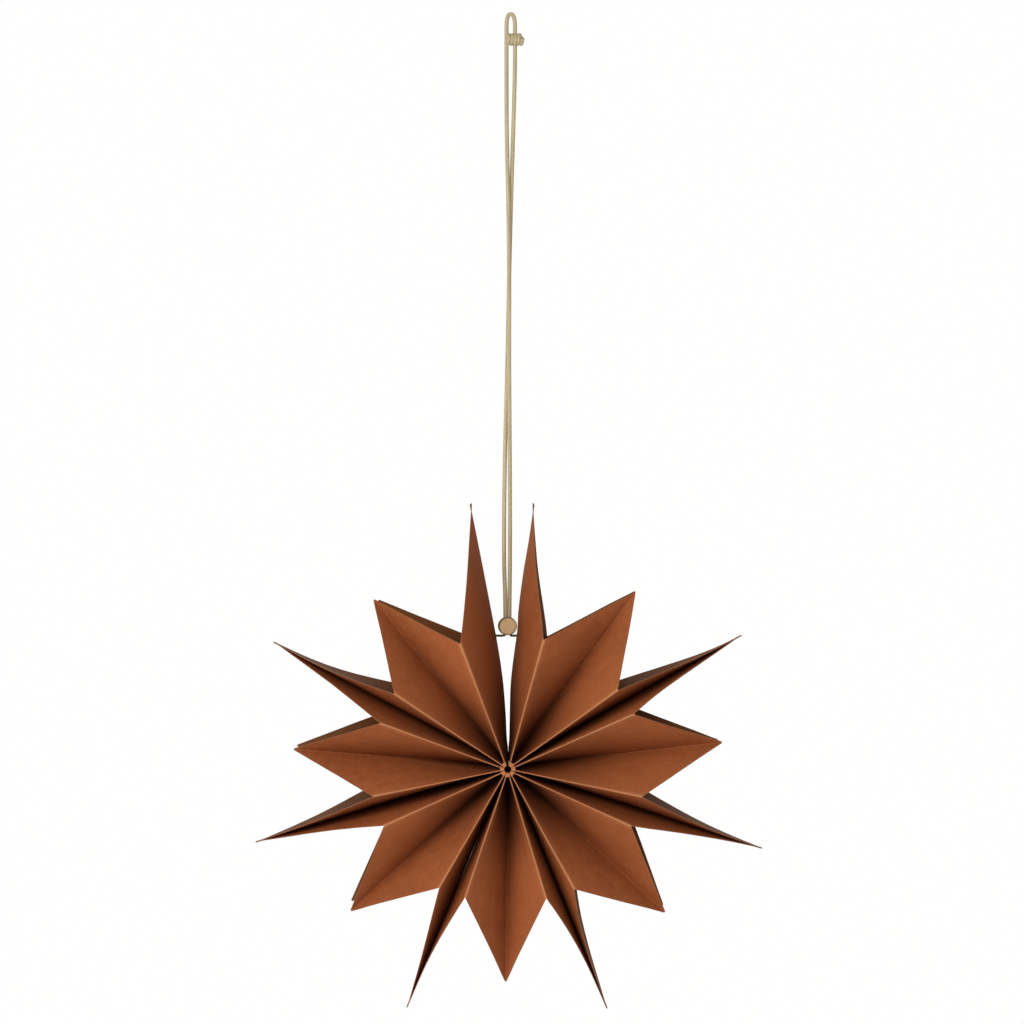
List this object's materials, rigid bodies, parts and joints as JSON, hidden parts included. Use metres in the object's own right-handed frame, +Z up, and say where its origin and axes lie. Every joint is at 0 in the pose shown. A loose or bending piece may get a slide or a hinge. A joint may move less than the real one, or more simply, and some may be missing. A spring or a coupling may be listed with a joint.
{
  "type": "folded paper star",
  "caption": "Hanging star of folded paper units, with wide valley-folded points and narrow double points, on a doubled cord with a bead, a knot and a small eye.",
  "frame": {"origin": "the top of the inside of the cord's eye, where the star hangs from its hook", "axes": "+Z up along the hanging cord, the star's front faces -Y, +X to the right seen from the front"},
  "size_m": [0.2419, 0.0906, 0.4754],
  "materials": {
    "paper": "matt reddish brown craft paper, paler along the folds",
    "cord": "smooth waxed, pale gold tan",
    "bead": "smooth turned, pale tan",
    "thread": "twisted, dark brown"
  },
  "bodies": {
    "root": {"star_unit_1": "paper", "star_unit_2": "paper", "star_unit_3": "paper", "star_unit_4": "paper", "star_unit_5": "paper", "star_unit_6": "paper", "star_unit_7": "paper", "hanging_cord": "cord", "cord_knot": "cord", "bead": "bead", "tie_thread": "thread"}
  },
  "joints": []
}
